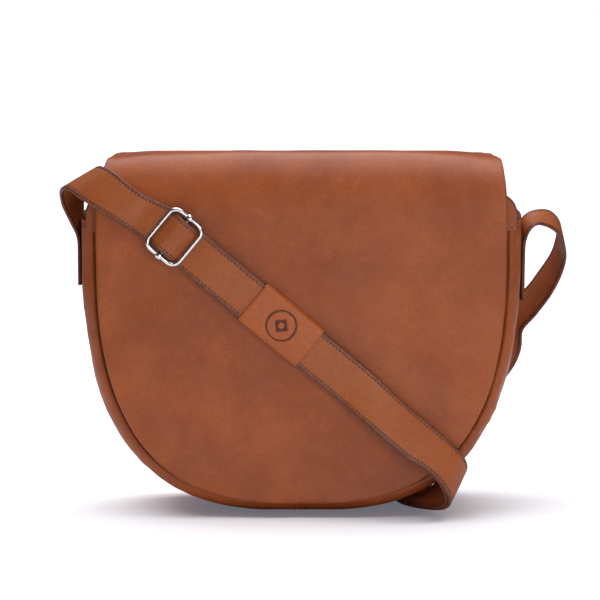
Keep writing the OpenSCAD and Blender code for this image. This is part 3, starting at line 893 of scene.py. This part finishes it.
def edge_pair(u, tilt):
    """Upper and lower edge of the doubled strap's middle surface, its lower edge lifted by a tilt."""
    return (front_point(u, STRAP_W * (np.cos(tilt) - 0.5), MID_W),
            front_point(u, -STRAP_W / 2, MID_W + STRAP_W * np.sin(tilt)))


def front_frames(us, heights):
    """Strap stations along the front run at the given heights; it tilts as it nears the fold."""
    upper, lower = edge_pair(us, TILT * step(us, 150, 203))
    middle = (upper + lower) / 2
    across = (lower - upper) / STRAP_W
    offset = (heights - MID_W)[:, None]
    out = unit(np.cross(across, unit(np.gradient(middle + OUTWARD * offset, axis=0))))
    leaning = step(us, 115, 150)[:, None]
    return middle + mix(OUTWARD, out, leaning) * offset, across, out


def left_length():
    """From the left gusset up and over the flap's corner to the adjuster."""
    pairs = from_corner((-SIDE_X, 0, ANCHOR_Z), [
        ((0, 15, 3), (0, -15, 3)),
        ((0, 15, 21), (0, -15, 21)),
        ((0, 15, 38), (-0.6, -15, 37)),
        ((0.2, 12.2, 53), (-5.8, -17.5, 49)),
        ((1.7, 5, 67), (-10.4, -22.5, 59.5)),
        ((5.7, -5.5, 77.5), (-11.6, -29, 67.5)),
        ((11.2, -17, 83.8), (-10.8, -35, 71.8)),
        ((16.2, -29.5, 88.3), (-7.3, -41.5, 73.8)),
        ((21.6, -41.5, 88.3), (-1.3, -49, 71.6)),
        ((29.0, FLAP_FACE + 2.4, 85.4), (8.0, FLAP_FACE - 1.2, 65.2))])
    pairs.append((front_point(-40, 8, 2.0), front_point(-40, -17.6, 3.4)))
    for u, high, low in ((-28, 10.4, -16.4), (-20, 12.4, -15.7)):
        pairs.append((front_point(u, high, weave(u)), front_point(u, low, weave(u))))
    pairs.append((front_point(JOIN_LEFT, 15, BAR_UNDER), front_point(JOIN_LEFT, -15, BAR_UNDER)))
    single_length("left", edge_frames(pairs), "strap_left_loop", LEFT_SWING)


def bar_loop():
    """The thin end of the under layer, brought round the adjuster's loose bar."""
    reach = WIRE_R + 0.75
    line = [(12.0, weave(12.0) - STRAP_T / 2 - 0.55), (8.0, weave(8.0) - STRAP_T / 2 - 0.6),
            (4.0, FRAME_W + reach + 0.1)]
    line += [(-reach * math.cos(a), FRAME_W + reach * math.sin(a)) for a in arc(90, -90, 13)]
    line += [(4.0, FRAME_W - reach - 0.4), (8.5, SURFACE_W + 1.5), (12.0, SURFACE_W + 0.1),
             (15.0, SURFACE_W)]
    centre = spline([front_point(u, 0, w) for u, w in line], 0.8)
    out = np.cross(unit(np.gradient(centre, axis=0)), CROSS)
    v = np.linspace(5 - STRAP_W, STRAP_W - 5, 12) / 2
    thick = 1.0
    grid = centre[:, None] + CROSS * v[None, :, None] + (out * thick / 2)[:, None]
    piece = shell("strap_bar_loop", grid, np.repeat(out[:, None], len(v), 1), thick, [STRAP, EDGE, STRAP], 4)
    register(piece, "strap_leather", None)
    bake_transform(piece)


def front_run():
    """The doubled run across the flap, its upper layer narrower inside the adjuster."""
    top_u = np.concatenate([np.arange(JOIN_LEFT, 36, 0.8), np.arange(36, JOIN_RIGHT, 3.0), [JOIN_RIGHT]])
    top = front_frames(top_u, weave(top_u))
    width = STRAP_W - 2.4 * (1 - step(np.abs(top_u), 12.5, 17))
    under_u = np.concatenate([np.arange(15, 36, 1.5), np.arange(36, JOIN_RIGHT, 3.0), [JOIN_RIGHT]])
    under = front_frames(under_u, mix(SURFACE_W, UNDER_W, step(under_u, 15, 34)))
    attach(strap_piece("strap_front_run", top, "strap_top_run", width), "strap_front")
    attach(strap_piece("strap_under_layer", under, "strap_under_run"), "strap_front")
    sew("strap_front_stitches", strap_rows(top, (1,), width) + strap_rows(under), "strap_front")


left_length()
bar_loop()
front_run()

# the ring behind the bag: its slope, and the strap's turn round its end bars
ring_slope = math.radians(50)
ring_up = np.array([math.cos(ring_slope), 0, math.sin(ring_slope)])
ring_across = np.array([-ring_up[2], 0, ring_up[0]])
BACK = np.array([0, 1, 0])
RING_HALF = 6.0
RING_BEND = WIRE_R + STRAP_T / 2 + 0.25


def back_point(u, w):
    """A point near the ring: u up along the strap, w out from the back."""
    return RING + u * ring_up + w * BACK


def return_length():
    """Doubled strap round the slanting fold, under the bag, up its back and round the ring."""
    x = front_point(JOIN_RIGHT, 0, 0)[0]
    y = FLAP_FACE - MID_W
    pairs = [edge_pair(JOIN_RIGHT + more, TILT) for more in (0, 9, 19)]
    pairs += from_corner((x, y, 0), [
        ((33, 0, 56.8), (16.4, -11.9, 38.4)),
        ((40.2, 0.7, 49.9), (25.6, -11, 30)),
        ((44.3, 3.2, 44.5), (30.3, -8.5, 22.8)),
        ((46.5, 7.5, 38.7), (33.1, -4, 15.9)),
        ((45.8, 12.5, 33.1), (33.2, 1.5, 10.1)),
        ((43, 17, 28.6), (29.7, 7, 6.5))])
    pairs += from_corner((x, 0, 0), [
        ((35.6, -25, 25), (24, -42, 4.6)),
        ((28.4, -11, 14.8), (14, -31, 4.2)),
        ((27.5, 1, 8), (3, -12, 4)),
        ((27, 11, 5.4), (-1.5, 9, 4)),
        ((28, 30, 4.8), (-1.5, 30, 4)),
        ((30, 47, 8), (0, 48.5, 9.5)),
        ((32.5, 53.3, 19.3), (6.5, 54.4, 32.7))])
    pairs += [(back_point(u, 0) - 15 * ring_across, back_point(u, 0) + 15 * ring_across) for u in (-30, -18)]
    centre, across, out = edge_frames(pairs)
    a = arc(0, 180, 13)[:, None]
    turn = np.cos(a) * BACK + np.sin(a) * ring_up
    route = [(centre + out * LAYER_OFF, across, out),
             (back_point(-RING_HALF, 0) + RING_BEND * turn, np.tile(ring_across, (len(a), 1)), turn),
             ((centre - out * LAYER_OFF)[::-1], across[::-1], -out[::-1])]
    frames = tuple(np.concatenate(part) for part in zip(*route))
    single_length("return", frames, "strap_return_run", RETURN_SWING)


def short_length():
    """Short strap from the right gusset, twisting round to the ring behind the bag."""
    route = [(np.array([SIDE_X, 0, ANCHOR_Z]) + place, normal) for place, normal in [
        ((0, 0, -8), (-1, 0, 0)),
        ((0, 0, 17), (-1, 0, 0)),
        ((0.6, 0, 35), (-0.99, -0.02, 0.13)),
        ((4, 0.2, 46), (-0.7, -0.17, 0.69)),
        ((13, 3.5, 49), (0.12, -0.27, 0.96)),
        ((24.4, 9.8, 46), (0.67, -0.3, 0.68)),
        ((30.5, 15.8, 37.4), (0.96, -0.13, 0.26)),
        ((31.4, 22, 28), (0.99, 0.12, -0.02)),
        ((28.8, 27.5, 15.4), (0.94, 0.26, -0.23)),
        ((21.6, 33.5, 0.7), (0.86, 0.39, -0.31)),
        ((11.9, 40.5, -14.2), (0.81, 0.45, -0.38)),
        ((-2, HALF_D + 3.5, -30.5), (0.72, 0.64, -0.28))]]
    route += [(back_point(u, LAYER_OFF), BACK) for u in (45, 20)]
    for a in arc(0, 180, 5):
        turn = math.cos(a) * BACK - math.sin(a) * ring_up
        route.append((back_point(RING_HALF, 0) + RING_BEND * turn, turn))
    route += [(back_point(u, -LAYER_OFF), -BACK) for u in (20, 40)]
    single_length("short", strap_frames(route), "strap_short")


return_length()
short_length()


# ---------- metalware on the strap ----------

EYE_U = [-2.6, -2.5, -2.2, -1.2, 0, 1.2, 2.2, 2.5, 2.6]          # the rolled eyes of the adjuster's bar:
EYE_R = [1.62, 2.2, 2.55, 2.85, 2.95, 2.85, 2.55, 2.2, 1.62]     # places along them, and radii there


def wire_loop(hx, hy, corner):
    """Middle line of a rounded rectangle, as 2D points."""
    points = []
    for k, (sx, sy) in enumerate([(1, 1), (-1, 1), (-1, -1), (1, -1)]):
        a = arc(90 * k, 90 * k + 90, 10)
        centre = np.array([sx * (hx - corner), sy * (hy - corner)])
        points += list(centre + corner * np.stack([np.cos(a), np.sin(a)], 1))
    return resample(points + points[:1], 120)[:-1]


def wire(name, body, nodes, path, radius, material=NICKEL, **shape):
    """A nickel piece bent or rolled from wire."""
    return register(tube(name, path, radius, material, **shape), "nickel", body, *nodes)


loop = wire_loop(FRAME_HALF, FRAME_V, 6)
wire("adjuster_wire_frame", "strap_front", ["adjuster_frame"],
     front_point(loop[:, 0], loop[:, 1], FRAME_W), WIRE_R + 0.15, closed=True)
# a thin dark ring painted as the shade in the groove where the wire's ends butt together
wire("adjuster_joint_shade_ring", "strap_front", [],
     front_point(-FRAME_HALF, [-0.2, 0.2], FRAME_W), WIRE_R + 0.22, JOINT_SHADE, sides=24)
wire("adjuster_centre_bar", "bar", ["adjuster_bar"],
     front_point(0, np.linspace(-FRAME_V, FRAME_V, 12), FRAME_W), WIRE_R - 0.1)
for end, sign in (("low", -1), ("high", 1)):
    wire("adjuster_bar_eye_" + end, "bar", [], front_point(EYE_U, sign * FRAME_V, FRAME_W), EYE_R, sides=20)
loop = wire_loop(RING_HALF, FRAME_V, 4)
wire("strap_wire_ring", "bag", ["strap_ring"],
     RING + loop[:, :1] * ring_up - loop[:, 1:] * ring_across, WIRE_R, closed=True)


# ---------- keeper ----------

KEEPER_L = 52.0
KEEPER_T = 1.1
MARK_R = (9.4, 9.8, 11.2, 11.6)         # the pressed ring's soft inner and outer edges
MARK_HALF = 6.2                         # the diamond's half width
MARK_EYE = (1.7, 2.1)
MARK_D = 0.34


def keeper_section():
    """Closed outer outline (v, w) of the sleeve, with soft long edges, and its outward normals."""
    half, low, high = STRAP_W / 2 + 1.5, REST_GAP, UPPER_W + STRAP_T / 2 + 1.5
    points = []
    for k, (v, w) in enumerate([(half, high), (-half, high), (-half, low), (half, low)]):
        r = 2.6 if w == high else 1.6
        a = arc(90 * k, 90 * k + 90, 8)
        centre = np.array([math.copysign(half - r, v), w - r if w == high else w + r])
        points += list(centre + r * np.stack([np.cos(a), np.sin(a)], 1))
    line = resample(points + points[:1], 161)[:-1]
    line[:, 1] += 0.5 * (1 - (line[:, 0] / half) ** 2) * step(line[:, 1], high - 1.2, high - 0.05)
    ahead = unit(np.roll(line, -1, 0) - np.roll(line, 1, 0))
    return line, np.stack([ahead[:, 1], -ahead[:, 0]], 1)


def keeper_mark(u, v):
    """1 inside the pressed mark: a ring round a diamond with an eye in it."""
    r = np.hypot(u, v)
    band = step(r, *MARK_R[:2]) * (1 - step(r, *MARK_R[2:]))
    diamond = 1 - step((np.abs(u) + np.abs(v)) / MARK_HALF, 0.97, 1.03)
    return np.clip(band + diamond - (1 - step(r, *MARK_EYE)), 0, 1)


def keeper_sleeve():
    """The sleeve's outside, with its pressed mark, its inside and its two cut ends."""
    line, normal = keeper_section()
    us = np.arange(-KEEPER_L / 2, KEEPER_L / 2 + 0.01, 0.4)
    u, k = np.meshgrid(us, np.arange(len(line)), indexing="ij")
    mark = keeper_mark(u, line[k, 0]) * (normal[k, 1] > 0.7)
    end_round = 0.35 * (1 - step(KEEPER_L / 2 - np.abs(u), 0, 0.8))
    middle = float(np.dot(KEEPER - ADJUSTER, RUN))
    sides = []
    for depth in (MARK_D * mark + end_round, np.full(u.shape, KEEPER_T)):
        place = line[k] - normal[k] * depth[..., None]
        sides.append(front_point(middle + u, place[..., 0], place[..., 1]).reshape(-1, 3))
    ids = ring_ids(*u.shape)
    outside = quads(ids)
    ends = [np.stack([r[:-1], r[1:], r[1:] + u.size, r[:-1] + u.size], 1) for r in (ids[0], ids[-1])]
    faces = np.concatenate([outside, outside[:, ::-1] + u.size] + ends)
    pressed = mark.reshape(-1)[outside].min(1) > 0.5
    kinds = np.concatenate([pressed, np.zeros(len(outside)), np.full(2 * u.shape[1], 2)])
    piece = make_mesh("keeper_sleeve", np.concatenate(sides), faces, [SLEEVE, BURNT, EDGE], kinds, 60)
    register(piece, "keeper_leather", "keeper", "strap_keeper")


keeper_sleeve()


# ---------- mouth and inside ----------

SHOULDER_X = HALF_W - np.array([40, 34, 29, 24, 19, 16, 12.4, 10, 8.2])
SHOULDER_DROP = np.array([0, 0.3, 1.2, 3, 4.6, 5.6, 8.4, 11.8, 16.5])


def shoulder_height(x):
    """Height of the mouth's leather, which rounds over and drops at both ends."""
    return ZIP_Z + 1.8 - np.interp(np.abs(x), SHOULDER_X, SHOULDER_DROP)


def zip_strip(side, sign):
    """Leather strip beside the zip, which droops at its ends. Gives its row for sewing."""
    low, high = node_box("zip_panel_" + side)
    half = HALF_W - 8.2
    x, y = np.meshgrid(np.linspace(-half, half, 170), np.linspace(low[1] + 0.6, high[1] - 0.6, 26),
                       indexing="ij")
    grid = np.stack([x, y, shoulder_height(x)], -1)
    sag = 1.4 * np.exp(-(x / 90) ** 2) * np.exp(-((y - sign * 20) / 14) ** 2)
    grid[..., 2] += 0.25 * rough(grid, 24, 2.0) - sag
    normal = sheet("zip_strip_" + side, grid, (0, 0, 1), 1.6, CUT_LEATHER, "leather", "zip_panel_" + side)
    return rows_on(grid, normal, np.s_[6:-6, 2 if sign > 0 else -3])


def facing_strip(side, sign):
    """Leather strip inside the mouth."""
    low, high = node_box(side + "_facing")
    half = HALF_W - 9
    x, rise = np.meshgrid(np.linspace(-half, half, 150), np.linspace(0, 1, 14), indexing="ij")
    flat = np.stack([x, mix(low[2] - 2, shoulder_height(x) - 1.9, rise)], -1)
    y = (low[1] + high[1]) / 2 - sign * 0.6 + 0.1 * rough(upright(flat, 0.0), 30)
    sheet(side + "_facing_leather", upright(flat, y), (0, -sign, 0), 1.1, CUT_LEATHER, "leather",
          side + "_facing")


def lining_side(side, sign, inset):
    """Creased side of the cloth bag."""
    high = node_box("lining")[1]
    curve, _ = body_curve(inset, high[2])
    half = curve[-1, 0]
    flat = fill_u(curve, np.array([[-half, high[2]], [half, high[2]]]), 90, 70)
    level = upright(flat, 0.0)
    folds = 1.6 * np.abs(rough(level, (60, 60, 90), 8.0 + sign)) + 0.5 * np.abs(rough(level, 20, 3.0))
    inner = step(np.minimum(half - np.abs(flat[..., 0]), 40), 0, 18)
    grid = upright(flat, sign * (high[1] - 1.2 - folds * inner))
    sheet("lining_side_" + side, grid, (0, -sign, 0), LINING_T, [LINING], "lining", "lining")


def lining_gusset():
    """The strip of cloth round the lining's sides."""
    high = node_box("lining")[1]
    base, out = (each[::3] for each in body_curve(0, high[2]))
    line = gusset_profile(60)
    line = line + 3.0 * outward(line)
    inset, y = line[np.abs(line[:, 1]) < high[1] - 1.4].T
    inset = inset + 1.4 * np.abs(rough(round_body(base, out, np.zeros((1, len(y))), y), 34, 6.0))
    sheet("lining_gusset", round_body(base, out, inset, y), (1, 0, 1), LINING_T, [LINING], "lining")


def stiffener_board(side, sign):
    """Board between a panel and the lining."""
    node = side + "_stiffener"
    curve, _ = body_curve(38.0, node_box(node)[1][2] - 20)
    flat = fill_u(curve, curve[[0, -1]], 40, 40)
    grid = upright(flat, sign * (HALF_D - 0.4 - LEATHER_T - 0.5))
    sheet(side + "_board", grid, (0, sign, 0), 0.9, [BOARD], "board", node)


def slip_pocket():
    """Slip pocket on the lining's back, with a gaping top edge."""
    low, high = node_box("inner_pocket")
    z, x = np.meshgrid(np.linspace(high[2], low[2] + 1, 46), np.linspace(low[0] + 1, high[0] - 1, 60),
                       indexing="ij")
    gape = 2.4 * np.cos(x / (high[0] * 1.02) * math.pi / 2) ** 2 * step(z, high[2] - 45, high[2])
    creases = 0.3 * np.abs(rough(np.stack([x, z, z], -1), 26))
    grid = np.stack([x, low[1] - gape - 0.4 - creases, z], -1)
    normal = sheet("slip_pocket", grid, (0, -1, 0), 0.8, [LINING], "lining", "inner_pocket")
    sew("pocket_stitches", rows_on(grid, normal, np.s_[2, 1:-1], np.s_[1:-1, 2], np.s_[1:-1, -3],
                                   np.s_[-3, 1:-1]), "bag")


zip_rows = []
for side, sign, inset in (("front", -1, 25.0), ("back", 1, 13.0)):
    zip_rows += zip_strip(side, sign)
    facing_strip(side, sign)
    lining_side(side, sign, inset)
    stiffener_board(side, sign)
sew("zip_stitches", zip_rows, "bag")
lining_gusset()
slip_pocket()


# ---------- frame nodes that stay ----------

def dress(node, material, bevel=0.0):
    """Gives a CAD node its material, and softens its sharp edges with modifiers."""
    obj = frame["nodes"][node]
    obj.data.materials.clear()
    obj.data.materials.append(material)
    if bevel:
        weld = obj.modifiers.new("weld", "WELD")
        weld.merge_threshold = 0.01 * MM
        rounding = obj.modifiers.new("rounding", "BEVEL")
        rounding.width = bevel * MM
        rounding.segments = 2
        rounding.limit_method = "ANGLE"
        rounding.angle_limit = math.radians(40)


for node in ("zip_teeth_front", "zip_teeth_back"):
    dress(node, BRASS)
for node in ("zip_stops", "zip_slider", "zip_pull"):
    dress(node, BRASS, 0.18)
dress("zip_tapes", TAPE)
for node in ("magnet_socket", "magnet_socket_washer", "magnet_stud", "magnet_stud_washer"):
    dress(node, NICKEL_CAD)


# ---------- studio ----------

def link(name, data, place=(0, 0, 0)):
    """A new object in the scene."""
    obj = bpy.data.objects.new(name, data)
    bpy.context.scene.collection.objects.link(obj)
    obj.location = place
    return obj


def aim(obj, target):
    """Points a light or camera at a place."""
    obj.rotation_euler = (Vector(target) - obj.location).to_track_quat("-Z", "Y").to_euler()


def add_floor():
    """Wide floor with a painted glow for the camera: faint and bluish near the bag, which tints its shadow,
    and stronger towards its far parts so that it fades to white.
    """
    mesh = bpy.data.meshes.new("studio_floor")
    s = 60.0
    mesh.from_pydata([(-s, -s, 0), (s, -s, 0), (s, s, 0), (-s, s, 0)], [], [(0, 1, 2, 3)])
    m = Surface("studio_floor")
    place = m.add("ShaderNodeTexCoord").outputs["Object"]
    distance = m.add("ShaderNodeVectorMath", {0: place}, operation="LENGTH").outputs["Value"]
    seen = m.add("ShaderNodeLightPath").outputs["Is Camera Ray"]
    # painted glow seen only by the camera: faint near the bag, where its bluish colour tints the shadow, and
    # bright far off
    glow = m.maths("MULTIPLY", seen, m.ramp(distance, 0.16, 1.3, 0.3, 1.3))
    mesh.materials.append(m.finish(Base_Color=(0.80, 0.80, 0.82, 1), Roughness=0.9, Specular_IOR_Level=0.1,
                                   Emission_Color=(0.88, 0.85, 1, 1), Emission_Strength=glow))
    floor = link("studio_floor", mesh, (0, 0, -0.4 * MM))
    return floor


def add_world():
    """White for the camera; for the light it gives, bright above and darker low down."""
    world = bpy.data.worlds.new("studio")
    bpy.context.scene.world = world
    world.use_nodes = True
    world.node_tree.nodes.clear()
    g = Graph(world.node_tree)
    around = g.add("ShaderNodeTexCoord").outputs["Generated"]
    height = g.add("ShaderNodeSeparateXYZ", {0: around}).outputs["Z"]
    sky = g.blend(g.ramp(height, 0, 1, 0, 0.75), (0.35, 0.36, 0.40, 1), (1, 1, 1, 1))
    lit = g.add("ShaderNodeBackground", {"Color": sky, "Strength": 0.14}).outputs[0]
    white = g.add("ShaderNodeBackground", {"Color": (1, 1, 1, 1), "Strength": 1.0}).outputs[0]
    seen = g.add("ShaderNodeLightPath").outputs["Is Camera Ray"]
    mixed = g.add("ShaderNodeMixShader", {0: seen, 1: lit, 2: white}).outputs[0]
    g.add("ShaderNodeOutputWorld", {0: mixed})


def add_softbox(name, place, target, size, power, receivers):
    """Rectangular lamp that lights one collection only."""
    light = bpy.data.lights.new(name, "AREA")
    light.shape = "RECTANGLE"
    light.size, light.size_y = size
    light.energy = power
    lamp = link(name, light, place)
    aim(lamp, target)
    lamp.light_linking.receiver_collection = receivers


def add_lights(floor):
    """Three softboxes for the bag, and one for the floor alone."""
    floor_only = bpy.data.collections.new("floor_only")
    floor_only.objects.link(floor)
    not_floor = bpy.data.collections.new("not_floor")
    not_floor.objects.link(floor)
    not_floor.collection_objects[0].light_linking.link_state = "EXCLUDE"
    add_softbox("top_softbox", (0.05, 0.02, 1.15), (0, 0, 0.1), (1.5, 0.8), 15, not_floor)
    add_softbox("front_key", (0.7, -1.9, 0.72), (0, 0, 0.16), (0.8, 0.5), 7.8, not_floor)
    add_softbox("low_fill", (0.15, -0.9, 0.10), (0, -0.05, 0.06), (0.7, 0.15), 1.0, not_floor)
    add_softbox("floor_softbox", (-0.05, 0.1, 0.9), (0, 0, 0), (1.7, 1.1), 24, floor_only)


def add_camera():
    """At the photograph's angle: square on and six degrees above level."""
    target = Vector((-0.001, -0.05, 0.155))
    tilt = math.radians(6)
    camera = bpy.data.cameras.new("camera")
    camera.lens = 128.3
    camera.sensor_width = 36
    camera.clip_end = 200
    obj = link("camera", camera, target + 1.5 * Vector((0, -math.cos(tilt), math.sin(tilt))))
    aim(obj, target)
    bpy.context.scene.camera = obj


add_lights(add_floor())
add_world()
add_camera()
bpy.context.scene.view_settings.view_transform = "Standard"
bpy.context.scene.view_settings.look = "None"
